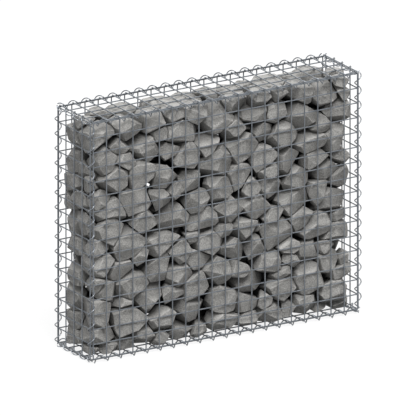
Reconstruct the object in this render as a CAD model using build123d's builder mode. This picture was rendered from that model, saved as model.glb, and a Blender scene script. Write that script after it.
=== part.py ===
"""Stone-filled gabion wall: one complete basket of welded mesh, laced along its edges with spiral wire.

X runs along the wall, Y towards its back and Z up. The origin is on the ground, at the middle of the wall.
"""

import os

from build123d import *

# Basket, between the centres of its edge wires
LENGTH = 1000.0
DEPTH = 200.0
HEIGHT = 800.0

# Welded mesh
MESH = 50.0
MESH_WIRE = 4.0
MESH_WIRE_SIDES = 8
SEAM_GAP = 0.5
LACING_GAP = 0.3
WELDED_TAIL = 0.6

# Lacing spirals, one turn to each mesh
COIL_RADIUS = 10.5
COIL_WIRE = 3.0
COIL_WIRE_SIDES = 4

# Where each spiral's wire lies as it passes a wire of the mesh, in degrees round its axis
EDGE_COIL_START = 0.0
CORNER_COIL_STARTS = {
    "front_left": 140.0,
    "front_right": 22.0,
    "back_left": 65.0,
    "back_right": 320.0,
}

# Stone fill, laid in lifts, which lies against the front and left meshes and stops short of the others
LIFTS = 4
STONE_GAP = 1.0
SEAT_GAP = 0.2
SHORT_OF_BACK = 14.0
SHORT_OF_RIGHT = 12.0
COIL_CLEARANCE = 0.5

# Places that follow from the sizes
HALF_SIDE = 180 / MESH_WIRE_SIDES
NEAR_LAYER = (MESH_WIRE + SEAM_GAP) / 2**0.5
FAR_LAYER = NEAR_LAYER + MESH_WIRE
COIL_REACH = COIL_RADIUS + COIL_WIRE / 2

# Each spiral's wire bears on the lid's, base's or long wall's edge wire, so its axis is this far from it
LACED = COIL_RADIUS - COIL_WIRE / 2 - MESH_WIRE / 2 - LACING_GAP
END_LEAN = (NEAR_LAYER**2 + FAR_LAYER**2) ** 0.5
END_SEAM_OUT = LACED * NEAR_LAYER / END_LEAN
SEAM_LEVEL = FAR_LAYER - LACED * FAR_LAYER / END_LEAN
LONG_SEAM_OUT = (LACED**2 - (NEAR_LAYER - SEAM_LEVEL) ** 2) ** 0.5
CORNER_OUT_X = LACED / 2**0.5
CORNER_OUT_Y = FAR_LAYER - CORNER_OUT_X
GROUND = SEAM_LEVEL + COIL_REACH
CELLS_LONG = round(LENGTH / MESH)
CELLS_DEEP = round(DEPTH / MESH)
CELLS_HIGH = round(HEIGHT / MESH)
PITCH_LONG = LENGTH / CELLS_LONG
PITCH_DEEP = DEPTH / CELLS_DEEP
PITCH_HIGH = HEIGHT / CELLS_HIGH
MIDDLE = GROUND + HEIGHT / 2

os.makedirs("parts", exist_ok=True)


def write(piece, name):
    """Label a finished piece and write it to its own file."""
    piece.part.label = name
    export_step(piece.part, f"parts/{name}.step")


def mesh_panel(face, wide, wide_cells, tall, tall_cells):
    """Make a welded mesh whose plane's Z points out of the basket.

    The wires along the plane's X lie next to the fill. Those along its Y are welded on outside them.
    """
    next_to_fill = Plane(face.origin + face.z_dir * NEAR_LAYER, x_dir=face.y_dir, z_dir=face.x_dir)
    outside = Plane(face.origin + face.z_dir * FAR_LAYER, x_dir=face.x_dir, z_dir=face.y_dir)
    rows = (
        (next_to_fill, tall / tall_cells, tall_cells + 1, wide),
        (outside, wide / wide_cells, wide_cells + 1, tall),
    )
    with BuildPart() as panel:
        for across, apart, count, run in rows:
            with BuildSketch(across):
                with GridLocations(apart, apart, count, 1):
                    RegularPolygon(MESH_WIRE / 2, MESH_WIRE_SIDES, major_radius=False, rotation=HALF_SIDE)
            extrude(amount=run / 2 + WELDED_TAIL, both=True)
    return panel


def spiral(start, along, outward, angle, cells, pitch):
    """Make a right-handed lacing spiral round an edge, one turn at a time.

    start is the axis's first point, along its direction, and angle turns the wire on from outward.
    """
    foot = Plane(start, x_dir=outward, z_dir=along).rotated((0, 0, angle))
    with BuildPart() as turn:
        with BuildLine() as path:
            Helix(pitch=pitch, height=pitch, radius=COIL_RADIUS)
        with BuildSketch(Plane(path.line @ 0, x_dir=(1, 0, 0), z_dir=path.line % 0)):
            RegularPolygon(
                COIL_WIRE / 2, COIL_WIRE_SIDES, major_radius=False, rotation=180 / COIL_WIRE_SIDES
            )
        sweep(path=path.line, is_frenet=True, clean=False)
    with BuildPart() as coil:
        add([foot * Pos(0, 0, pitch * number) * turn.part for number in range(cells)], clean=False)
    return coil


# Mesh panels
PANELS = {
    "front_mesh": (Plane((0, -DEPTH / 2, MIDDLE), x_dir=(1, 0, 0), z_dir=(0, -1, 0)), LENGTH, HEIGHT),
    "back_mesh": (Plane((0, DEPTH / 2, MIDDLE), x_dir=(-1, 0, 0), z_dir=(0, 1, 0)), LENGTH, HEIGHT),
    "left_mesh": (Plane((-LENGTH / 2, 0, MIDDLE), x_dir=(0, -1, 0), z_dir=(-1, 0, 0)), DEPTH, HEIGHT),
    "right_mesh": (Plane((LENGTH / 2, 0, MIDDLE), x_dir=(0, 1, 0), z_dir=(1, 0, 0)), DEPTH, HEIGHT),
    "lid_mesh": (Plane((0, 0, GROUND + HEIGHT), x_dir=(1, 0, 0), z_dir=(0, 0, 1)), LENGTH, DEPTH),
    "base_mesh": (Plane((0, 0, GROUND), x_dir=(1, 0, 0), z_dir=(0, 0, -1)), LENGTH, DEPTH),
}
CELLS = {LENGTH: CELLS_LONG, DEPTH: CELLS_DEEP, HEIGHT: CELLS_HIGH}
for name, (face, wide, tall) in PANELS.items():
    write(mesh_panel(face, wide, CELLS[wide], tall, CELLS[tall]), name)

# Spirals along the top and bottom edges
for level, up in (("top", 1), ("base", -1)):
    z = GROUND + (HEIGHT if up > 0 else 0) + up * SEAM_LEVEL
    for side, out in (("front", -1), ("back", 1)):
        y = out * (DEPTH / 2 + LONG_SEAM_OUT)
        start = (-LENGTH / 2, y, z)
        write(
            spiral(start, (1, 0, 0), (0, out, up), EDGE_COIL_START, CELLS_LONG, PITCH_LONG),
            f"{level}_{side}_spiral",
        )
    for side, out in (("left", -1), ("right", 1)):
        x = out * (LENGTH / 2 + END_SEAM_OUT)
        start = (x, -DEPTH / 2, z)
        write(
            spiral(start, (0, 1, 0), (out, 0, up), EDGE_COIL_START, CELLS_DEEP, PITCH_DEEP),
            f"{level}_{side}_spiral",
        )

# Spirals up the four corners
for face_name, back in (("front", -1), ("back", 1)):
    for side, right in (("left", -1), ("right", 1)):
        corner = f"{face_name}_{side}"
        start = (
            right * (LENGTH / 2 + CORNER_OUT_X),
            back * (DEPTH / 2 + CORNER_OUT_Y),
            GROUND,
        )
        write(
            spiral(start, (0, 0, 1), (1, 0, 0), CORNER_COIL_STARTS[corner], CELLS_HIGH, PITCH_HIGH),
            f"{corner}_spiral",
        )

# Stone fill, cut back along the edges where the spirals turn
FACE_SET = NEAR_LAYER - MESH_WIRE / 2 - STONE_GAP
FOOT_SET = NEAR_LAYER - MESH_WIRE / 2 - SEAT_GAP
BASKET_LENGTH = LENGTH + 2 * FACE_SET
BASKET_DEPTH = DEPTH + 2 * FACE_SET
FILL_LENGTH = BASKET_LENGTH - SHORT_OF_RIGHT
FILL_DEPTH = BASKET_DEPTH - SHORT_OF_BACK
FILL_FOOT = GROUND - FOOT_SET
FILL_TOP = GROUND + HEIGHT + FACE_SET
LIFT_HEIGHT = (FILL_TOP - FILL_FOOT) / LIFTS
COIL_ROOM = 2**0.5 * (COIL_REACH + COIL_CLEARANCE)
CORNER_CUT = COIL_ROOM - (CORNER_OUT_X - FACE_SET) - (CORNER_OUT_Y - FACE_SET)
EDGE_CUT = COIL_ROOM - (END_SEAM_OUT - FACE_SET) - (SEAM_LEVEL - FOOT_SET)
for number in range(LIFTS):
    foot = FILL_FOOT + number * LIFT_HEIGHT
    with BuildPart() as lift:
        with BuildSketch(Plane.XY.offset(foot)):
            Rectangle(BASKET_LENGTH, BASKET_DEPTH)
        extrude(amount=LIFT_HEIGHT)
        chamfer(lift.edges().filter_by(Axis.Z), CORNER_CUT)
        if number == 0:
            chamfer(lift.faces().sort_by(Axis.Z)[0].edges(), EDGE_CUT)
        if number == LIFTS - 1:
            chamfer(lift.faces().sort_by(Axis.Z)[-1].edges(), EDGE_CUT)
        with BuildSketch(Plane.XY.offset(foot)):
            with Locations((-SHORT_OF_RIGHT / 2, -SHORT_OF_BACK / 2)):
                Rectangle(FILL_LENGTH, FILL_DEPTH)
        extrude(amount=LIFT_HEIGHT, mode=Mode.INTERSECT)
    write(lift, f"stone_lift_{number + 1}")
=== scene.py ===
"""Dresses the stone-filled gabion wall: welded mesh, lacing spirals and the crushed rock in the basket."""

import logging
import math
import random
from dataclasses import dataclass
from enum import Enum
from functools import cached_property

import bmesh
import bpy
from bmesh.types import BMEdge, BMesh
from bpy.types import ID, Material, Mesh, Node, NodeSocket, NodeTree, Object
from mathutils import Matrix, Vector


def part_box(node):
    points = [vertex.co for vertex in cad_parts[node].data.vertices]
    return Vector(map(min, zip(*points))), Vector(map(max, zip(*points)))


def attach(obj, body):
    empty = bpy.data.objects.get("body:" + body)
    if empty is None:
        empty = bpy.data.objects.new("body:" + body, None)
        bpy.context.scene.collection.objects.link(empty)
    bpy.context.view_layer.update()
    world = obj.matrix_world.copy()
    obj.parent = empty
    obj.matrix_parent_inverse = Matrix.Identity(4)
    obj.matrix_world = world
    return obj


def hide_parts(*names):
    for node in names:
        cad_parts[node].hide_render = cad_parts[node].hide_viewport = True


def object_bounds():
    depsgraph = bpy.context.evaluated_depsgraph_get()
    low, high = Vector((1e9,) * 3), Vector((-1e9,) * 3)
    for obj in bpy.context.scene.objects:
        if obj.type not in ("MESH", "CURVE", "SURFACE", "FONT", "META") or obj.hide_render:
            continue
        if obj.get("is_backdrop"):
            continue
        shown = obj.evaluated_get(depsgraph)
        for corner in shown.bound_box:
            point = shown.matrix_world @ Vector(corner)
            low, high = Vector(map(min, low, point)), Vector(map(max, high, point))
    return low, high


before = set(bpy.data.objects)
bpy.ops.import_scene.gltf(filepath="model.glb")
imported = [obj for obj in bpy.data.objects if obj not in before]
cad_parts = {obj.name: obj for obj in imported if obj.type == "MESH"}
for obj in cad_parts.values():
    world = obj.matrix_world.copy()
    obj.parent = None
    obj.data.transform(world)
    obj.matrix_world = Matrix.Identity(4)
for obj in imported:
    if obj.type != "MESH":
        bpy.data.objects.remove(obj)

LOG = logging.getLogger("gabion")
MM = 0.001
WHITE = (1.0, 1.0, 1.0, 1.0)

# Red, green and blue
Colour = tuple[float, float, float]

# A point on a plane, and the plane's outward direction
Plane = tuple[Vector, Vector]

# Spacing of the mesh, which is also the length of one turn of a spiral
MESH = 50 * MM

# Where each corner spiral's wire starts at its foot, in degrees from +X
CORNER_STARTS = {"front_left": 140.0, "front_right": 22.0, "back_left": 65.0, "back_right": 320.0}

# Turn from one facet to the next that spreads them evenly round a stone, in radians
GOLDEN_TURN = 2.399963

# Step that gives each pair of stones its own random numbers
PAIR_STEP = 4099

# Height of the noise at which a broken face is neither swollen nor sunk
NOISE_LEVEL = 0.58


class Socket(Enum):
    """The kinds of input that a geometry tree has."""

    MESH = "NodeSocketGeometry"
    SIZE = "NodeSocketFloat"
    COUNT = "NodeSocketInt"
    FINISH = "NodeSocketMaterial"


class Facing(Enum):
    """The six sides of the basket: the way each faces, and the way its first row of wires runs."""

    FRONT = ((0, -1, 0), (1, 0, 0))
    BACK = ((0, 1, 0), (-1, 0, 0))
    LEFT = ((-1, 0, 0), (0, -1, 0))
    RIGHT = ((1, 0, 0), (0, 1, 0))
    LID = ((0, 0, 1), (1, 0, 0))
    BASE = ((0, 0, -1), (1, 0, 0))

    @property
    def out(self) -> Vector:
        """The direction that the side faces."""
        return Vector(self.value[0])

    @property
    def wide(self) -> Vector:
        """The direction of the wires that lie next to the stones."""
        return Vector(self.value[1])

    @property
    def tall(self) -> Vector:
        """The direction of the wires welded on outside them."""
        return self.out.cross(self.wide)


# Node trees


class Graph:
    """Builds one node tree, linking or setting each input by name."""

    def __init__(self, tree: NodeTree) -> None:
        """Empty a geometry or shader tree, to fill it."""
        self.tree = tree
        self.tree.nodes.clear()

    def add(self, kind: str, inputs: dict | None = None, **settings: object) -> Node:
        """Add a node.

        Args:
            kind: The node's type.
            inputs: Values or output sockets by input name or number.
            **settings: The node's own properties.

        Returns:
            The new node.
        """
        node = self.tree.nodes.new(kind)
        for name, value in settings.items():
            setattr(node, name, value)
        for key, value in (inputs or {}).items():
            self.feed(node.inputs[key], value)
        return node

    def feed(self, socket: NodeSocket, value: object) -> None:
        """Link an input or set its plain value.

        Args:
            socket: The input.
            value: One output, a list of outputs to join, or a plain value.
        """
        if isinstance(value, NodeSocket):
            self.tree.links.new(value, socket)
        elif isinstance(value, list):
            for item in value:
                self.tree.links.new(item, socket)
        else:
            socket.default_value = value

    def math(self, operation: str, first: object, second: object) -> NodeSocket:
        """Return the output of one Math node."""
        return self.add("ShaderNodeMath", {0: first, 1: second}, operation=operation).outputs[0]

    def point(self, **shares: object) -> NodeSocket:
        """Return a vector made of its X, Y and Z, each 0 if it isn't given."""
        return self.add("ShaderNodeCombineXYZ", shares).outputs[0]

    def mix(self, factor: object, first: object, second: object) -> NodeSocket:
        """Return a colour between two others."""
        inputs = {"Factor": factor, "A": first, "B": second}
        return self.add("ShaderNodeMix", inputs, data_type="RGBA").outputs["Result"]

    def carry(self, value: object, start: float, end: float, low: float = 0, high: float = 1) -> NodeSocket:
        """Return a value carried from the range of start to end onto low to high, and held in that."""
        inputs = {"Value": value, "From Min": start, "From Max": end, "To Min": low, "To Max": high}
        return self.add("ShaderNodeMapRange", inputs).outputs["Result"]

    def attribute(self, name: str) -> NodeSocket:
        """Return a number that the mesh carries."""
        return self.add("ShaderNodeAttribute", attribute_name=name).outputs["Fac"]

    def instances(self, points: object, shape: object) -> NodeSocket:
        """Return one shape set on each of several points."""
        inputs = {"Points": points, "Instance": shape}
        return self.add("GeometryNodeInstanceOnPoints", inputs).outputs[0]

    def seen(self) -> NodeSocket:
        """Return 1 for a ray that is seen, straight or mirrored or through glass, and 0 for the others."""
        path = self.add("ShaderNodeLightPath").outputs
        first = self.math("MAXIMUM", path["Is Camera Ray"], path["Is Glossy Ray"])
        return self.math("MAXIMUM", first, path["Is Transmission Ray"])


def new_geometry_tree(name: str, sockets: dict[Socket, tuple[str, ...]]) -> tuple[Graph, Node]:
    """Make an empty geometry tree with named inputs and one geometry output.

    Args:
        name: The tree's name.
        sockets: Input names by kind.

    Returns:
        The graph and its group input node.
    """
    graph = Graph(bpy.data.node_groups.new(name, "GeometryNodeTree"))
    interface = graph.tree.interface
    interface.new_socket(name="Geometry", in_out="OUTPUT", socket_type=Socket.MESH.value)
    for kind, labels in sockets.items():
        for label in labels:
            interface.new_socket(name=label, in_out="INPUT", socket_type=kind.value)
    return graph, graph.add("NodeGroupInput")


def finish_tree(graph: Graph, source: Node, geometry: object) -> NodeTree:
    """End a geometry tree in Realize Instances and Set Material.

    Args:
        graph: The tree's graph.
        source: Its group input node.
        geometry: What it has made.

    Returns:
        The finished tree.
    """
    solid = graph.add("GeometryNodeRealizeInstances", {"Geometry": geometry}).outputs[0]
    inputs = {"Geometry": solid, "Material": source.outputs["Material"]}
    dressed = graph.add("GeometryNodeSetMaterial", inputs)
    graph.add("NodeGroupOutput", {"Geometry": dressed.outputs[0]})
    return graph.tree


def new_object(name: str, data: ID) -> Object:
    """Return a new object with this data, linked to the scene."""
    made = bpy.data.objects.new(name, data)
    bpy.context.collection.objects.link(made)
    return made


def new_material(name: str) -> tuple[Material, Graph]:
    """Return a new material and the empty graph of its nodes."""
    material = bpy.data.materials.new(name)
    material.use_nodes = True
    return material, Graph(material.node_tree)


def grow(name: str, tree: NodeTree, values: dict[str, object], mesh: Mesh | None = None) -> Object:
    """Run a geometry tree once and keep its result as a plain mesh object at the origin.

    Args:
        name: The finished object's name.
        tree: The geometry tree.
        values: Input values by name.
        mesh: The mesh that the tree starts from, if it works on one.

    Returns:
        The finished object, linked to the scene.
    """
    start = mesh or bpy.data.meshes.new(f"{name}_start")
    piece = new_object(name, start)
    modifier = piece.modifiers.new("grow", "NODES")
    modifier.node_group = tree
    sockets = {item.name: item.identifier for item in tree.interface.items_tree if item.in_out == "INPUT"}
    for label, value in values.items():
        modifier[sockets[label]] = value
    piece.update_tag()
    bpy.context.view_layer.update()
    view = bpy.context.evaluated_depsgraph_get()
    made = bpy.data.meshes.new_from_object(
        piece.evaluated_get(view), preserve_all_data_layers=True, depsgraph=view
    )
    piece.modifiers.remove(modifier)
    piece.data = made
    made.name = name
    bpy.data.meshes.remove(start)
    return piece


def smooth(mesh: Mesh, crease: float = 40.0) -> None:
    """Shade a mesh smooth but for edges sharper than an angle in degrees."""
    mesh.shade_smooth()
    mesh.set_sharp_from_angle(angle=math.radians(crease))
    LOG.info("%s: %d faces", mesh.name, len(mesh.polygons))


def basis(across: Vector, up: Vector, out: Vector, origin: Vector) -> Matrix:
    """Return the matrix that carries a piece's own X, Y and Z onto three directions at a point."""
    turn = Matrix((across, up, out)).transposed().to_4x4()
    return Matrix.Translation(origin) @ turn


# Finishes


def grain_group() -> NodeTree:
    """Build the shared group that gives a surface its mottling, grain and bump by place in the object.

    Returns:
        The shader group, with inputs for its scales, and the outputs Tone, Grain, Speck and Height.
    """
    graph = Graph(bpy.data.node_groups.new("mineral_grain", "ShaderNodeTree"))
    interface = graph.tree.interface
    for label, value in (("Patch scale", 20.0), ("Grain scale", 600.0), ("Shift", 0.0)):
        socket = interface.new_socket(name=label, in_out="INPUT", socket_type="NodeSocketFloat")
        socket.default_value = value
    for label in ("Tone", "Grain", "Speck", "Height"):
        interface.new_socket(name=label, in_out="OUTPUT", socket_type="NodeSocketFloat")
    source = graph.add("NodeGroupInput").outputs
    spot = graph.add("ShaderNodeTexCoord").outputs["Object"]
    shift = graph.point(X=source["Shift"], Y=source["Shift"])
    moved = graph.add("ShaderNodeVectorMath", {0: spot, 1: shift}, operation="ADD").outputs[0]
    noises = []
    for label, detail, roughness in (("Patch scale", 5.0, 0.6), ("Grain scale", 6.0, 0.72)):
        inputs = {"Vector": moved, "Scale": source[label], "Detail": detail, "Roughness": roughness}
        noises.append(graph.add("ShaderNodeTexNoise", inputs).outputs["Fac"])
    patches, grain = noises
    speck_scale = graph.math("MULTIPLY", source["Grain scale"], 1.6)
    cells = graph.add("ShaderNodeTexVoronoi", {"Vector": moved, "Scale": speck_scale})
    graph.add(
        "NodeGroupOutput",
        {
            "Tone": patches,
            "Grain": grain,
            "Speck": cells.outputs["Color"],
            "Height": graph.math("ADD", graph.math("MULTIPLY", patches, 2.0), grain),
        },
    )
    return graph.tree


@dataclass(frozen=True)
class ZincFinish:
    """Galvanised wire: dull blue-grey zinc with a faint spangle and paler bloom.

    Attributes:
        name: The material's name.
        fresh: Colour of the clean zinc.
        bloom: Colour of the bloom.
        roughness: Roughness of the clean zinc.
        dulled: Roughness of the bloom.
        metallic: How much it mirrors like bare metal.
        patch_scale: Scale of the bloom.
        grain_scale: Scale of the spangle.
        relief: Depth of the spangle.
    """

    name: str = "galvanised_wire"
    fresh: Colour = (0.165, 0.182, 0.205)
    bloom: Colour = (0.26, 0.28, 0.30)
    roughness: float = 0.36
    dulled: float = 0.56
    metallic: float = 0.35
    patch_scale: float = 45.0
    grain_scale: float = 900.0
    relief: float = 0.2 * MM

    def build(self, grain: NodeTree) -> Material:
        """Build the material.

        Args:
            grain: The shared mineral grain group.

        Returns:
            The finished material.
        """
        material, graph = new_material(self.name)
        scales = {"Patch scale": self.patch_scale, "Grain scale": self.grain_scale}
        surface = graph.add("ShaderNodeGroup", scales, node_tree=grain).outputs
        bloomed = graph.carry(surface["Tone"], 0.4, 0.7)
        relief = {"Height": surface["Height"], "Strength": 0.15, "Distance": self.relief}
        shader = graph.add(
            "ShaderNodeBsdfPrincipled",
            {
                "Base Color": graph.mix(bloomed, (*self.fresh, 1.0), (*self.bloom, 1.0)),
                "Metallic": self.metallic,
                "Roughness": graph.carry(surface["Tone"], 0.3, 0.75, self.roughness, self.dulled),
                "Normal": graph.add("ShaderNodeBump", relief).outputs["Normal"],
            },
        )
        graph.add("ShaderNodeOutputMaterial", {"Surface": shader.outputs["BSDF"]})
        return material


# The spirals' finish, smoother and more like bare metal than the mesh's
SPIRAL_ZINC = ZincFinish(
    name="spiral_wire",
    fresh=(0.175, 0.189, 0.208),
    bloom=(0.27, 0.285, 0.305),
    roughness=0.2,
    dulled=0.4,
    metallic=0.9,
)


@dataclass(frozen=True)
class RockFinish:
    """Crushed grey rock, each stone a little lighter or darker than the next, with painted highlights on its
    arrises and painted shade deep in the pile.

    Attributes:
        name: The material's name.
        dark: Colour of the darkest rock.
        light: Colour of the lightest rock.
        dust: Colour of the dust on upward faces.
        arris: Colour of the painted highlight on the arrises.
        painted_shade: Painted shade, the colour of the rock deep in the pile.
        roughness: Roughness of the rock.
        patch_scale: Scale of the mottling within a stone.
        grain_scale: Scale of the grain.
        patch: How much the mottling lightens or darkens the rock.
        speck: How much the specks do.
        grit: How much the grain does.
        arris_highlight_share: How much of the painted highlight on the arrises shows.
        dusting: How much of the dust's colour shows on a level face.
        relief: Depth of the grain.
    """

    name: str = "crushed_rock"
    dark: Colour = (0.282, 0.278, 0.266)
    light: Colour = (0.560, 0.551, 0.530)
    dust: Colour = (0.50, 0.49, 0.47)
    arris: Colour = (0.72, 0.71, 0.69)
    painted_shade: Colour = (0.030, 0.030, 0.029)
    roughness: float = 0.88
    patch_scale: float = 30.0
    grain_scale: float = 240.0
    patch: float = 0.15
    speck: float = 0.12
    grit: float = 0.85
    arris_highlight_share: float = 0.22
    dusting: float = 0.5
    relief: float = 2.0 * MM

    def build(self, grain: NodeTree) -> Material:
        """Build the material.

        Args:
            grain: The shared mineral grain group.

        Returns:
            The finished material.
        """
        material, graph = new_material(self.name)
        stone_tone = graph.attribute("stone_tone")
        inputs = {"Patch scale": self.patch_scale, "Grain scale": self.grain_scale, "Shift": stone_tone}
        surface = graph.add("ShaderNodeGroup", inputs, node_tree=grain).outputs
        patch = graph.carry(surface["Tone"], 0.3, 0.7, -self.patch, self.patch)
        speck = graph.carry(surface["Speck"], 0.0, 1.0, -self.speck, self.speck)
        grit = graph.carry(surface["Grain"], 0.3, 0.7, -self.grit, self.grit)
        tone = graph.math("ADD", graph.math("ADD", stone_tone, patch), graph.math("ADD", speck, grit))
        normal = graph.add("ShaderNodeNewGeometry").outputs["Normal"]
        upward = graph.add("ShaderNodeSeparateXYZ", {0: normal}).outputs["Z"]
        colour = graph.mix(tone, (*self.dark, 1.0), (*self.light, 1.0))
        # Painted highlight: the worn arrises are lightened as if each caught the light.
        arris_highlight_mask = graph.math("MULTIPLY", graph.attribute("worn"), self.arris_highlight_share)
        colour = graph.mix(arris_highlight_mask, colour, (*self.arris, 1.0))
        colour = graph.mix(graph.carry(upward, 0.3, 0.9, 0.0, self.dusting), colour, (*self.dust, 1.0))
        # Painted shade: the rock darkens with its depth in the pile, where less light reaches.
        colour = graph.mix(graph.attribute("buried"), colour, (*self.painted_shade, 1.0))
        relief = {"Height": surface["Height"], "Strength": 1.0, "Distance": self.relief}
        shader = graph.add(
            "ShaderNodeBsdfPrincipled",
            {
                "Base Color": colour,
                "Roughness": self.roughness,
                "Specular IOR Level": 0.3,
                "Normal": graph.add("ShaderNodeBump", relief).outputs["Normal"],
            },
        )
        graph.add("ShaderNodeOutputMaterial", {"Surface": shader.outputs["BSDF"]})
        return material


# Wire


@dataclass
class MeshPanels:
    """The six welded panels, each two layers of round wire that cross at every mesh.

    Attributes:
        finish: The wire's material.
        wire: Wire diameter.
        tail: How far a wire runs past the middle of the edge wire.
        bead: Radius of the weld bead at each crossing.
        sides: Facets round a wire.
    """

    finish: Material
    wire: float = 4 * MM
    tail: float = 0.6 * MM
    bead: float = 2.3 * MM
    sides: int = 14

    @staticmethod
    def tree() -> NodeTree:
        """Build the tree that lays both rows of wire and the weld beads in the panel's own plane.

        Returns:
            The geometry tree.
        """
        sockets = {
            Socket.SIZE: ("Wide", "Tall", "Mesh", "Wire", "Tail", "Bead"),
            Socket.COUNT: ("Wide count", "Tall count", "Sides"),
            Socket.FINISH: ("Material",),
        }
        graph, source = new_geometry_tree("welded_mesh", sockets)
        value = source.outputs
        quarter = math.pi / 2
        rows = (
            ("Wide", "Tall", (0.0, quarter, 0.0), "Y", 0.0),
            ("Tall", "Wide", (quarter, 0.0, 0.0), "X", 1.0),
        )
        radius = graph.math("MULTIPLY", value["Wire"], 0.5)
        tails = graph.math("MULTIPLY", value["Tail"], 2.0)
        parts = []
        for run, spread, turn, across, layer in rows:
            depth = graph.math("ADD", value[run], tails)
            rod = graph.add(
                "GeometryNodeMeshCylinder", {"Vertices": value["Sides"], "Radius": radius, "Depth": depth}
            )
            laid = graph.add("GeometryNodeTransform", {"Geometry": rod.outputs["Mesh"], "Rotation": turn})
            edge = graph.math("MULTIPLY", value[spread], -0.5)
            level = graph.math("MULTIPLY", value["Wire"], layer)
            line = graph.add(
                "GeometryNodeMeshLine",
                {
                    "Count": value[f"{spread} count"],
                    "Start Location": graph.point(**{across: edge, "Z": level}),
                    "Offset": graph.point(**{across: value["Mesh"]}),
                },
            )
            parts.append(graph.instances(line.outputs[0], laid.outputs[0]))
        crossings = graph.add(
            "GeometryNodeMeshGrid",
            {
                "Size X": value["Wide"],
                "Size Y": value["Tall"],
                "Vertices X": value["Wide count"],
                "Vertices Y": value["Tall count"],
            },
        )
        lifted = graph.add(
            "GeometryNodeTransform",
            {"Geometry": crossings.outputs["Mesh"], "Translation": graph.point(Z=radius)},
        )
        bead = graph.add("GeometryNodeMeshIcoSphere", {"Radius": value["Bead"], "Subdivisions": 2})
        parts.append(graph.instances(lifted.outputs[0], bead.outputs[0]))
        joined = graph.add("GeometryNodeJoinGeometry", {"Geometry": parts})
        return finish_tree(graph, source, joined.outputs[0])

    def build(self) -> None:
        """Make all six panels, each in place of its frame node."""
        tree = self.tree()
        for side in Facing:
            node = f"{side.name.lower()}_mesh"
            low, high = (Vector(corner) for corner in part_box(node))
            middle, size = (low + high) / 2, high - low
            wide = abs(size.dot(side.wide)) - self.wire
            tall = abs(size.dot(side.tall)) - self.wire
            values = {"Wide": wide, "Tall": tall, "Mesh": MESH, "Wire": self.wire, "Tail": self.tail}
            values |= {"Wide count": round(wide / MESH) + 1, "Tall count": round(tall / MESH) + 1}
            values |= {"Bead": self.bead, "Sides": self.sides, "Material": self.finish}
            piece = grow(f"{node}_wires", tree, values)
            near = middle - side.out * (self.wire / 2)
            piece.data.transform(basis(side.wide, side.tall, side.out, near))
            smooth(piece.data)
            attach(piece, "root")
            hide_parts(node)


@dataclass
class LacingSpirals:
    """The twelve right-handed spirals, one turn to each mesh, that lace the panels' edges together.

    Attributes:
        finish: The wire's material.
        wire: Wire diameter.
        radius: Radius of the spiral at the middle of its wire.
        steps: Points along one turn.
        sides: Facets round the wire.
    """

    finish: Material
    wire: float = 3.6 * MM
    radius: float = 10.2 * MM
    steps: int = 28
    sides: int = 10

    @staticmethod
    def tree() -> NodeTree:
        """Build the tree that winds one spiral up its own Z from the XY plane.

        Returns:
            The geometry tree.
        """
        sockets = {
            Socket.SIZE: ("Turns", "Length", "Radius", "Wire"),
            Socket.COUNT: ("Steps", "Sides"),
            Socket.FINISH: ("Material",),
        }
        graph, source = new_geometry_tree("lacing_spiral", sockets)
        value = source.outputs
        path = graph.add(
            "GeometryNodeCurveSpiral",
            {
                "Resolution": value["Steps"],
                "Rotations": value["Turns"],
                "Start Radius": value["Radius"],
                "End Radius": value["Radius"],
                "Height": value["Length"],
                "Reverse": True,
            },
        )
        section = graph.add(
            "GeometryNodeCurvePrimitiveCircle",
            {"Resolution": value["Sides"], "Radius": graph.math("MULTIPLY", value["Wire"], 0.5)},
        )
        tube = graph.add(
            "GeometryNodeCurveToMesh",
            {"Curve": path.outputs[0], "Profile Curve": section.outputs[0], "Fill Caps": True},
        )
        return finish_tree(graph, source, tube.outputs[0])

    @staticmethod
    def places() -> list[tuple[str, Vector, Vector, float]]:
        """List the spirals along the long edges, the ends' edges and the corners.

        Returns:
            Each one's name, axis, outward direction, and starting angle from that in degrees.
        """
        edges = (
            (Vector((1, 0, 0)), Vector((0, 1, 0)), (("front", -1), ("back", 1))),
            (Vector((0, 1, 0)), Vector((1, 0, 0)), (("left", -1), ("right", 1))),
        )
        found = []
        for along, across, sides in edges:
            for level, up in (("top", 1), ("base", -1)):
                for side, sign in sides:
                    outward = (across * sign + Vector((0, 0, up))).normalized()
                    found.append((f"{level}_{side}", along, outward, 0.0))
        for corner, angle in CORNER_STARTS.items():
            found.append((corner, Vector((0, 0, 1)), Vector((1, 0, 0)), angle))
        return found

    def build(self) -> None:
        """Make all twelve spirals, each in place of its frame node."""
        tree = self.tree()
        for name, along, outward, angle in self.places():
            node = f"{name}_spiral"
            low, high = (Vector(corner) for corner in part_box(node))
            turns = round((high - low).dot(along) / MESH)
            length = turns * MESH
            values = {"Turns": float(turns), "Length": length, "Radius": self.radius, "Wire": self.wire}
            values |= {"Steps": self.steps, "Sides": self.sides, "Material": self.finish}
            piece = grow(f"{node}_wire", tree, values)
            start = (low + high) / 2 - along * (length / 2)
            first = Matrix.Rotation(math.radians(angle), 3, along) @ outward
            piece.data.transform(basis(first, along.cross(first), along, start))
            smooth(piece.data)
            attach(piece, "root")
            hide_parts(node)


# Stones


@dataclass(frozen=True)
class Layer:
    """How one bed of stones is laid.

    Attributes:
        axis: The axis across it, or None in the heart of the pile.
        side: The wall of the room that it lies along, -1 for the low one and 1 for the high one.
        spacing: Least distance between two stones' middles, in sums of their half sizes.
        ragged: How far back from the wall a stone may lie.
        throws: How many stones are thrown.
    """

    axis: int | None
    side: int
    spacing: float
    ragged: float
    throws: int


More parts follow.
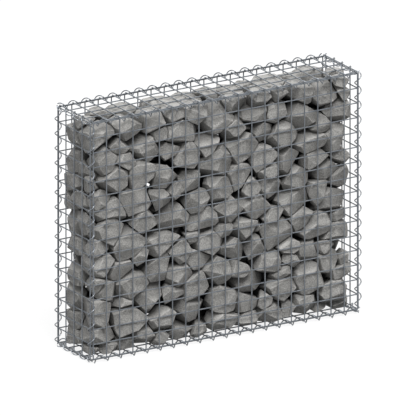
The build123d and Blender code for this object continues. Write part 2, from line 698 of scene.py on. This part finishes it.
class Bed(Enum):
    """The beds that the stones are laid in, in the order of their laying."""

    FRONT = Layer(1, -1, 0.72, 20.0 * MM, 2600)
    LEFT = Layer(0, -1, 0.76, 9.0 * MM, 500)
    TOP = Layer(2, 1, 0.76, 8.0 * MM, 600)
    FOOT = Layer(2, -1, 0.76, 8.0 * MM, 500)
    RIGHT = Layer(0, 1, 0.76, 16.0 * MM, 500)
    BACK = Layer(1, 1, 0.74, 8.0 * MM, 2200)
    HEART = Layer(None, 0, 0.74, 0.0, 3500)


@dataclass(frozen=True)
class Seed:
    """One stone's place in the order of laying, middle, half size and shade, and whether others hide it."""

    number: int
    middle: Vector
    reach: float
    tone: float
    hidden: bool


def lean(out: Vector, angle: float, dice: random.Random, turn: float | None = None) -> Vector:
    """Lean a direction over.

    Args:
        out: The direction.
        angle: How far it leans, in radians.
        dice: The source of random numbers.
        turn: The side that it leans to, in radians round it, or None for a random one.

    Returns:
        The leaning direction.
    """
    turned = dice.uniform(0, math.tau) if turn is None else turn
    side = Matrix.Rotation(turned, 3, out) @ out.orthogonal().normalized()
    return (out * math.cos(angle) + side * math.sin(angle)).normalized()


@dataclass(frozen=True)
class Packing:
    """How the stones lie against each other.

    Attributes:
        largest: Half size of the largest stones.
        smallest: Half size of the smallest stones.
        flat: How much wider than tall they lie.
        inset: How far from the walls a stone's middle is thrown, in half sizes.
        seat: Least and most distance of it from the wall that the stone lies along, in half sizes.
        rarity: Power of a random number that makes stones rare the farther back they lie.
        tones: Darkest and lightest shade.
        near: How far off a stone's neighbours may be, in half sizes of the largest.
        joint: Least gap between neighbours.
        slack: How much farther back from it each of them may be, in mm.
        sliver: Least depth that a neighbour cuts off.
        tilt: Standard deviation of how far the face between two stones leans, in radians.
        most_tilt: The most that it leans.
        shift: How far that face may lie nearer to one of them.
        pull: How far it lies nearer to the smaller one, where 1 is by their sizes alone.
    """

    largest: float = 62 * MM
    smallest: float = 30 * MM
    flat: float = 1.3
    inset: float = 0.5
    seat: tuple[float, float] = (0.58, 0.72)
    rarity: float = 2.5
    tones: tuple[float, float] = (0.38, 0.62)
    near: float = 2.3
    joint: float = 0.8 * MM
    slack: float = 1.4
    sliver: float = 1.0 * MM
    tilt: float = 0.45
    most_tilt: float = 0.7
    shift: float = 3.0 * MM
    pull: float = 0.9

    @property
    def lie(self) -> Vector:
        """How a lying stone's width, depth and height compare with a round one's."""
        wide = self.flat ** (1 / 3)
        return Vector((wide, wide, wide / self.flat))

    def half(self, reach: float, out: Vector) -> float:
        """Return how far a lying stone of this half size reaches in a direction."""
        return reach * (out * self.lie).length

    def apart(self, gap: Vector) -> float:
        """Return the distance between two lying stones, measured as if they were round."""
        return Vector(value / share for value, share in zip(gap, self.lie)).length

    def contact(self, seed: Seed, other: Seed, start: int) -> Plane:
        """Return the leaning plane where two stones meet, the same for both but for its direction.

        Args:
            seed: The stone that the plane's direction points away from.
            other: Its neighbour.
            start: Start of the random numbers.

        Returns:
            A point on the plane, and its outward direction.
        """
        first, second = sorted((seed, other), key=lambda stone: stone.number)
        dice = random.Random(start + first.number * PAIR_STEP + second.number)
        gap = second.middle - first.middle
        larger = first.reach**2 - second.reach**2
        share = 0.5 + self.pull * larger / (2 * self.apart(gap) ** 2)
        shift = dice.uniform(-self.shift, self.shift)
        squarely = Vector(value / size**2 for value, size in zip(gap, self.lie)).normalized()
        tilt = 0.0
        if not (seed.hidden or other.hidden):
            tilt = min(self.most_tilt, abs(dice.gauss(0, self.tilt)))
        out = lean(squarely, tilt, dice)
        return first.middle + gap * share + gap.normalized() * shift, out if first is seed else -out


@dataclass(frozen=True)
class Breakage:
    """The facets that stones are broken into, with distances in half sizes and angles in radians.

    Attributes:
        facets: Facets all round a stone that shows.
        facet_depth: Least and most distance of one from the middle.
        facet_turn: How far it may turn from an even spread.
        bite: Least depth that a facet breaks off, in metres.
        leaning: A stone leans on the mesh if its middle is nearer to it than this.
        fronts: Facets on the side that leans on the mesh, one of these numbers at random.
        steepest: The most that they lean, by their number.
        gentlest: The least that they lean, as a share of the most.
        front_turn: How far each may turn from an even spread.
        tip_back: How far behind the mesh the point where they meet may lie, in mm.
        tip_out: How far out it may lie.
        tip_aside: How far to one side it may lie.
        shoulders: Facets round that side.
        shoulder_lean: Least and most that one leans.
        shoulder_depth: Least and most distance of it from the middle.
        shoulder_turn: How far it may turn from an even spread, in steps between two.
        least_edge: Length below which an edge is merged, in metres.
        flattest: Angle below which two faces are joined, in degrees.
        edge: Width that each arris is worn back, in metres.
    """

    facets: int = 6
    facet_depth: tuple[float, float] = (0.84, 1.1)
    facet_turn: float = 0.5
    bite: float = 5.0 * MM
    leaning: float = 1.3
    fronts: tuple[int, ...] = (1, 1, 2, 2, 3)
    steepest: tuple[float, ...] = (0.24, 0.42, 0.56)
    gentlest: float = 0.35
    front_turn: float = 0.4
    tip_back: float = 1.5
    tip_out: float = 0.74
    tip_aside: float = 0.35
    shoulders: int = 3
    shoulder_lean: tuple[float, float] = (0.75, 1.2)
    shoulder_depth: tuple[float, float] = (0.82, 1.04)
    shoulder_turn: float = 0.3
    least_edge: float = 3 * MM
    flattest: float = 6.0
    edge: float = 1.1 * MM

    def wear(self, stone: BMesh) -> None:
        """Merge a cut stone's shortest edges and wear its arrises back.

        Args:
            stone: The stone's mesh, which gets the face layer worn.
        """
        bmesh.ops.remove_doubles(stone, verts=stone.verts, dist=self.least_edge)
        flattest = math.radians(self.flattest)
        bmesh.ops.dissolve_limit(stone, angle_limit=flattest, verts=stone.verts, edges=stone.edges)
        worn = stone.faces.layers.float.new("worn")
        arrises = bmesh.ops.bevel(
            stone,
            geom=list(stone.edges),
            offset=self.edge,
            segments=1,
            profile=0.6,
            affect="EDGES",
            clamp_overlap=True,
        )
        for face in arrises["faces"]:
            face[worn] = 1.0
        bmesh.ops.triangulate(stone, faces=stone.faces)
        bmesh.ops.recalc_face_normals(stone, faces=stone.faces)


@dataclass
class StoneFill:
    """Crushed rock packed into the basket: angular stones, each cut by its neighbours and its own facets.

    Attributes:
        finish: The rock's material.
        packing: How the stones lie against each other.
        breakage: The facets that they are broken into.
        lifts: The frame nodes of the fill, from the bottom up.
        clearance: Gap between the stones and the spirals.
        unshaded_depth: Depth in the pile down to which no shade is painted on the rock.
        full_shade_depth: Depth from which the painted shade is full.
        crease: Angle past which an edge stays sharp, in degrees.
        seed: Start of the random numbers.
    """

    finish: Material
    packing: Packing = Packing()
    breakage: Breakage = Breakage()
    lifts: tuple[str, ...] = ("stone_lift_1", "stone_lift_2", "stone_lift_3", "stone_lift_4")
    clearance: float = 0.5 * MM
    unshaded_depth: float = 7 * MM
    full_shade_depth: float = 44 * MM
    crease: float = 14.0
    seed: int = 21

    @cached_property
    def dice(self) -> random.Random:
        """The source of random numbers, for throwing all the stones and then for cutting them."""
        return random.Random(self.seed)

    @cached_property
    def room(self) -> tuple[Vector, Vector]:
        """The corners of the space that the stones fill."""
        boxes = [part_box(name) for name in self.lifts]
        low = Vector(min(box[0][axis] for box in boxes) for axis in range(3))
        high = Vector(max(box[1][axis] for box in boxes) for axis in range(3))
        return low, high

    @cached_property
    def seeds(self) -> list[Seed]:
        """The stones, thrown into the room bed by bed, large ones first, and kept if they find space."""
        low, high = self.room
        how, dice = self.packing, self.dice
        kept: list[Seed] = []
        for bed in Bed:
            layer = bed.value
            axis = layer.axis
            for number in range(layer.throws):
                smaller = (number / layer.throws) ** 0.5
                reach = how.largest + (how.smallest - how.largest) * smaller
                inset = reach * how.inset
                spot = Vector(dice.uniform(low[n] + inset, high[n] - inset) for n in range(3))
                if axis is not None:
                    wall = high[axis] if layer.side > 0 else low[axis]
                    seat = reach * how.lie[axis] * dice.uniform(*how.seat)
                    back = seat + layer.ragged * dice.random() ** how.rarity
                    spot[axis] = wall - layer.side * back
                if all(how.apart(spot - s.middle) > layer.spacing * (reach + s.reach) for s in kept):
                    kept.append(Seed(len(kept), spot, reach, dice.uniform(*how.tones), axis is None))
        return kept

    @cached_property
    def walls(self) -> list[Plane]:
        """The planes that keep the stones inside the wires and clear of the spirals."""
        planes = []
        for axis in range(3):
            for corner, sign in zip(self.room, (-1, 1)):
                out = Vector((0, 0, 0))
                out[axis] = sign
                planes.append((corner.copy(), out))
        for name in CORNER_STARTS:
            planes.append(self.bevel(f"{name}_spiral", 2))
        for level in ("top", "base"):
            for side, along in (("front", 0), ("back", 0), ("left", 1), ("right", 1)):
                planes.append(self.bevel(f"{level}_{side}_spiral", along))
        return planes

    def bevel(self, node: str, along: int) -> Plane:
        """Return the plane that keeps the stones clear of one spiral.

        Args:
            node: The spiral's frame node.
            along: The axis that it runs along.

        Returns:
            A point on the plane, and its outward direction.
        """
        low, high = (Vector(corner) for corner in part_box(node))
        room_low, room_high = self.room
        middle = (low + high) / 2
        out = middle - (room_low + room_high) / 2
        out[along] = 0.0
        out = Vector(math.copysign(1.0, value) if value else 0.0 for value in out).normalized()
        reach = max((high - low)[axis] for axis in range(3) if axis != along) / 2
        return middle - out * (reach + self.clearance), out

    def all_round(self, seed: Seed) -> list[Plane]:
        """Break facets from a stone that shows, spread evenly round it.

        Args:
            seed: The stone.

        Returns:
            The facets' planes.
        """
        how, dice = self.breakage, self.dice
        planes = []
        for number in range(0 if seed.hidden else how.facets):
            up = 1 - 2 * (number + dice.random()) / how.facets
            turn = number * GOLDEN_TURN + dice.uniform(-how.facet_turn, how.facet_turn)
            level = math.sqrt(max(0.0, 1 - up * up))
            out = Vector((level * math.cos(turn), level * math.sin(turn), up)).normalized()
            broken = out * self.packing.half(seed.reach, out) * dice.uniform(*how.facet_depth)
            planes.append((seed.middle + broken, out))
        return planes

    def shown_side(self, seed: Seed, out: Vector, depth: float) -> list[Plane]:
        """Break the side that leans on the mesh into leaning facets with shoulders round them.

        Args:
            seed: The stone.
            out: The direction of the mesh.
            depth: How far the mesh is from the stone's middle.

        Returns:
            The facets' planes.
        """
        how, half, dice = self.breakage, self.packing.half, self.dice
        planes = []
        fronts = dice.choice(how.fronts)
        first = dice.uniform(0, math.tau)
        steepest = how.steepest[fronts - 1]
        behind = depth - dice.uniform(0, how.tip_back) * MM
        tip = seed.middle + out * min(behind, half(seed.reach, out) * how.tip_out)
        aside = Matrix.Rotation(dice.uniform(0, math.tau), 3, out) @ out.orthogonal().normalized()
        tip += aside * dice.uniform(0, how.tip_aside) * seed.reach
        for number in range(fronts):
            turn = first + math.tau * number / fronts + dice.uniform(-how.front_turn, how.front_turn)
            planes.append((tip, lean(out, dice.uniform(how.gentlest, 1.0) * steepest, dice, turn)))
        for number in range(how.shoulders):
            step = number + dice.uniform(-how.shoulder_turn, how.shoulder_turn)
            turn = first + math.tau * step / how.shoulders
            shoulder = lean(out, dice.uniform(*how.shoulder_lean), dice, turn)
            broken = shoulder * half(seed.reach, shoulder) * dice.uniform(*how.shoulder_depth)
            planes.append((seed.middle + broken, shoulder))
        return planes

    def cut(self, seed: Seed) -> BMesh:
        """Cut one stone out of the space between its neighbours.

        Args:
            seed: The stone.

        Returns:
            The stone's mesh.
        """
        how, bite = self.packing, self.breakage.bite
        half_block = 2 * how.largest
        planes = []
        for other in self.seeds:
            if other is not seed and (other.middle - seed.middle).length < how.near * how.largest:
                point, out = how.contact(seed, other, self.seed)
                gap = how.joint / 2 + self.dice.uniform(0, how.slack) * MM
                planes.append((point - out * gap, out, how.sliver))
        planes += [(*facet, bite) for facet in self.all_round(seed)]
        for point, out in self.walls:
            depth = (point - seed.middle).dot(out)
            if depth < half_block:
                planes.append((point, out, 0.0))
            if depth < self.breakage.leaning * seed.reach:
                planes += [(*facet, bite) for facet in self.shown_side(seed, out, depth)]
        stone = bmesh.new()
        bmesh.ops.create_cube(stone, size=2 * half_block, matrix=Matrix.Translation(seed.middle))
        for point, out, least in planes:
            if max((vert.co - point).dot(out) for vert in stone.verts) > least:
                self.split(stone, point, out)
        return stone

    @staticmethod
    def split(stone: BMesh, point: Vector, out: Vector) -> None:
        """Cut off what lies outside a plane, and close the cut.

        Args:
            stone: The stone's mesh.
            point: A point on the plane.
            out: The plane's outward direction.
        """
        halved = bmesh.ops.bisect_plane(
            stone,
            geom=[*stone.verts, *stone.edges, *stone.faces],
            dist=1e-6,
            plane_co=point,
            plane_no=out,
            clear_outer=True,
        )
        rim = [item for item in halved["geom_cut"] if isinstance(item, BMEdge)]
        if rim:
            bmesh.ops.edgeloop_fill(stone, edges=rim)

    def buried(self, point: Vector) -> float:
        """Return the painted shade for a point's depth in the pile, from 0 at the wires to 1 where no light
        reaches.
        """
        depth = min(min(spot - low, high - spot) for spot, low, high in zip(point, *self.room))
        return min(1.0, max(0.0, (depth - self.unshaded_depth) / (self.full_shade_depth - self.unshaded_depth)))

    def pour(self, stone: BMesh, tone: float, whole: BMesh) -> None:
        """Add one stone to its lift, with its tone, the painted shade for its depth in the pile and its worn
        arrises.

        Args:
            stone: The stone's mesh.
            tone: Its shade.
            whole: The lift's mesh.
        """
        shade, depth = (whole.verts.layers.float[name] for name in ("stone_tone", "buried"))
        worn, marks = (mesh.faces.layers.float["worn"] for mesh in (whole, stone))
        copies = {}
        for vert in stone.verts:
            copy = copies[vert] = whole.verts.new(vert.co)
            copy[shade] = tone
            # Painted shade for the point's depth in the pile
            copy[depth] = self.buried(vert.co)
        for face in stone.faces:
            whole.faces.new([copies[vert] for vert in face.verts])[worn] = face[marks]

    def rough(self, name: str, stones: list[Seed]) -> Mesh:
        """Cut all the stones of one lift.

        Args:
            name: The lift's frame node.
            stones: Its stones.

        Returns:
            One mesh of closed, flat-faced stones.
        """
        whole = bmesh.new()
        for layer in ("stone_tone", "buried"):
            whole.verts.layers.float.new(layer)
        whole.faces.layers.float.new("worn")
        for seed in stones:
            stone = self.cut(seed)
            if len(stone.verts) > 3:
                self.breakage.wear(stone)
                self.pour(stone, seed.tone, whole)
            stone.free()
        mesh = bpy.data.meshes.new(f"{name}_rough")
        whole.to_mesh(mesh)
        whole.free()
        return mesh

    @staticmethod
    def tree() -> NodeTree:
        """Build the tree that roughens the broken faces of a mesh of stones.

        Returns:
            The geometry tree.
        """
        sockets = {
            Socket.MESH: ("Geometry",),
            Socket.SIZE: ("Swell scale", "Swell", "Chip scale", "Chip", "Seed"),
            Socket.COUNT: ("Level",),
            Socket.FINISH: ("Material",),
        }
        graph, source = new_geometry_tree("broken_faces", sockets)
        value = source.outputs
        fine = graph.add("GeometryNodeSubdivideMesh", {"Mesh": value["Geometry"], "Level": value["Level"]})
        pushes = []
        for form in ("Swell", "Chip"):
            noise = graph.add(
                "ShaderNodeTexNoise",
                {"W": value["Seed"], "Scale": value[f"{form} scale"], "Detail": 3.0, "Roughness": 0.55},
                noise_dimensions="4D",
            )
            centred = graph.math("SUBTRACT", noise.outputs["Fac"], NOISE_LEVEL)
            pushes.append(graph.math("MULTIPLY", centred, value[form]))
        outward = graph.add("GeometryNodeInputNormal").outputs[0]
        push = {0: outward, "Scale": graph.math("ADD", *pushes)}
        offset = graph.add("ShaderNodeVectorMath", push, operation="SCALE")
        moved = graph.add(
            "GeometryNodeSetPosition", {"Geometry": fine.outputs[0], "Offset": offset.outputs[0]}
        )
        return finish_tree(graph, source, moved.outputs[0])

    def build(self) -> None:
        """Make the stones of each lift, in place of its frame node."""
        tree = self.tree()
        values = {"Swell scale": 22.0, "Swell": 1.5 * MM, "Chip scale": 90.0, "Chip": 0.6 * MM}
        values |= {"Level": 1, "Seed": float(self.seed), "Material": self.finish}
        tops = [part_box(name)[1][2] for name in self.lifts]
        for number, name in enumerate(self.lifts):
            stones = [s for s in self.seeds if sum(s.middle.z >= top for top in tops[:-1]) == number]
            LOG.info("%s: %d stones", name, len(stones))
            piece = grow(f"{name}_stones", tree, values, self.rough(name, stones))
            smooth(piece.data, self.crease)
            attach(piece, "root")
            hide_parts(name)


# Studio


@dataclass(frozen=True)
class Lamp:
    """One soft sun lamp: its name, strength, where its light comes from and its apparent size in degrees."""

    name: str
    strength: float
    source: tuple[float, float, float]
    angle: float

    def hang(self) -> None:
        """Add the lamp to the scene."""
        data = bpy.data.lights.new(self.name, "SUN")
        data.energy = self.strength
        data.angle = math.radians(self.angle)
        lamp = new_object(self.name, data)
        lamp.rotation_mode = "QUATERNION"
        lamp.rotation_quaternion = Vector(self.source).to_track_quat("Z", "Y")


@dataclass
class Studio:
    """Camera, light and floor for a picture of the whole wall.

    Attributes:
        azimuth: Camera direction round the wall, in degrees.
        elevation: Camera height above the horizon, in degrees.
        width: Width of the picture, in metres at the wall.
        distance: How far off the camera stands.
        ambient: Strength of the light from all round.
        key: The main lamp, in front and above.
        fill: The weaker lamp behind, which keeps the back from going dark.
        floor_size: Side of the square floor.
        floor_glow: How bright the floor shows where no lamp lights it.
        floor_grey: How much lamp light it gives back, so that it shows the shadow.
    """

    azimuth: float = -31.5
    elevation: float = 18.15
    width: float = 1.3428
    distance: float = 5.0
    ambient: float = 0.45
    key: Lamp = Lamp("key", 2.7, (-0.18, -0.46, 0.87), 30.0)
    fill: Lamp = Lamp("fill", 0.9, (0.30, 0.88, 0.34), 60.0)
    floor_size: float = 30.0
    floor_glow: float = 0.86
    floor_grey: float = 0.15

    def build(self) -> None:
        """Make the camera, the world, the lamps and the floor."""
        bpy.context.scene.view_settings.view_transform = "Standard"
        low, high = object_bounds()
        self.camera((low + high) / 2)
        self.world()
        self.key.hang()
        self.fill.hang()
        self.floor(low.z)

    def camera(self, aim: Vector) -> None:
        """Make the camera.

        Args:
            aim: The point that it looks at.
        """
        turn, rise = math.radians(self.azimuth), math.radians(self.elevation)
        level = math.cos(rise)
        back = Vector((math.sin(turn) * level, -math.cos(turn) * level, math.sin(rise)))
        data = bpy.data.cameras.new("camera")
        data.type = "ORTHO"
        data.ortho_scale = self.width
        camera = new_object("camera", data)
        camera.location = aim + back * self.distance
        camera.rotation_mode = "QUATERNION"
        camera.rotation_quaternion = (-back).to_track_quat("-Z", "Y")
        bpy.context.scene.camera = camera

    def world(self) -> None:
        """Light the wall evenly from all round, and show plain white behind it."""
        world = bpy.data.worlds.new("studio")
        bpy.context.scene.world = world
        world.use_nodes = True
        graph = Graph(world.node_tree)
        strength = graph.carry(graph.seen(), 0.0, 1.0, self.ambient, 1.0)
        light = graph.add("ShaderNodeBackground", {"Color": WHITE, "Strength": strength})
        graph.add("ShaderNodeOutputWorld", {"Surface": light.outputs[0]})

    def floor(self, level: float) -> None:
        """Lay the pale floor that the wall stands on.

        Args:
            level: Its height.
        """
        half = self.floor_size / 2
        points = [(x * half, y * half, level) for x, y in ((-1, -1), (1, -1), (1, 1), (-1, 1))]
        mesh = bpy.data.meshes.new("floor")
        mesh.from_pydata(points, [], [(0, 1, 2, 3)])
        floor = new_object("floor", mesh)
        material, graph = new_material("floor")
        strength = graph.math("MULTIPLY", graph.seen(), self.floor_glow)
        glow = graph.add("ShaderNodeEmission", {"Color": WHITE, "Strength": strength})
        grey = (self.floor_grey, self.floor_grey, self.floor_grey, 1.0)
        matt = graph.add("ShaderNodeBsdfDiffuse", {"Color": grey})
        both = graph.add("ShaderNodeAddShader", {0: glow.outputs[0], 1: matt.outputs[0]})
        graph.add("ShaderNodeOutputMaterial", {"Surface": both.outputs[0]})
        mesh.materials.append(material)
        floor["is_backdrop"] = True


def main() -> None:
    """Build and dress the whole wall, then light and frame it."""
    logging.basicConfig(level=logging.INFO, format="%(name)s: %(message)s")
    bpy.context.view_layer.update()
    grain = grain_group()
    MeshPanels(ZincFinish().build(grain)).build()
    LacingSpirals(SPIRAL_ZINC.build(grain)).build()
    StoneFill(RockFinish().build(grain)).build()
    Studio().build()


if __name__ == "__main__":
    main()
